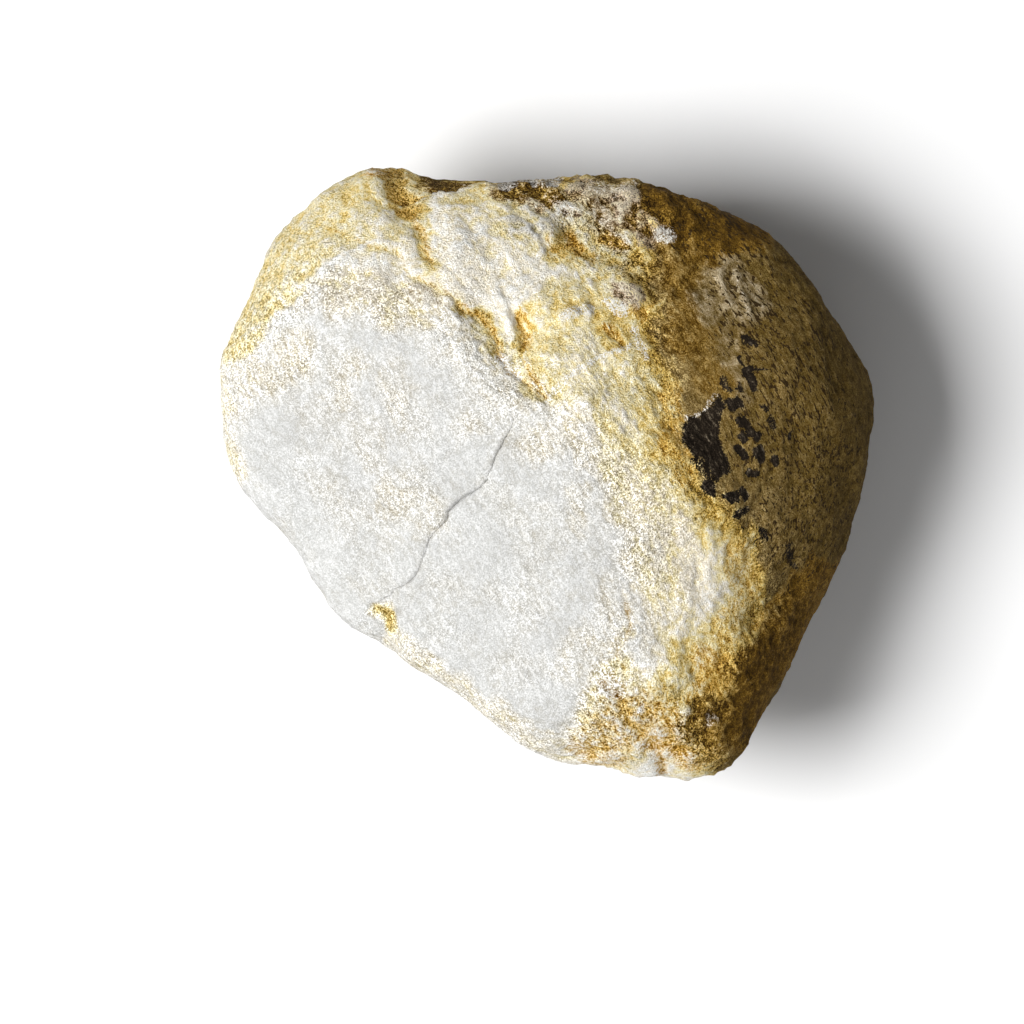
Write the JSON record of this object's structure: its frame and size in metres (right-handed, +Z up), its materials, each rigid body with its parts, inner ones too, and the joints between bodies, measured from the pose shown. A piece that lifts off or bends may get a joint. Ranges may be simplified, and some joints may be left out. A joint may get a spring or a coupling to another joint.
{
  "type": "geode",
  "caption": "Rough unopened geode nodule with a broad chalky face, iron-stained folds and a dark mineral patch, lying on a small flat spot.",
  "frame": {"origin": "on the surface it lies on, under the middle of the stone's bounding box", "axes": "+Z up, out of the broad pale face's side; +X along the stone's length, towards the flank with the dark mineral patch; +Y towards the folded and fissured edge"},
  "size_m": [0.119, 0.111, 0.0721],
  "materials": {
    "stone": "matte"
  },
  "bodies": {
    "root": {"geode": "stone"}
  },
  "joints": []
}
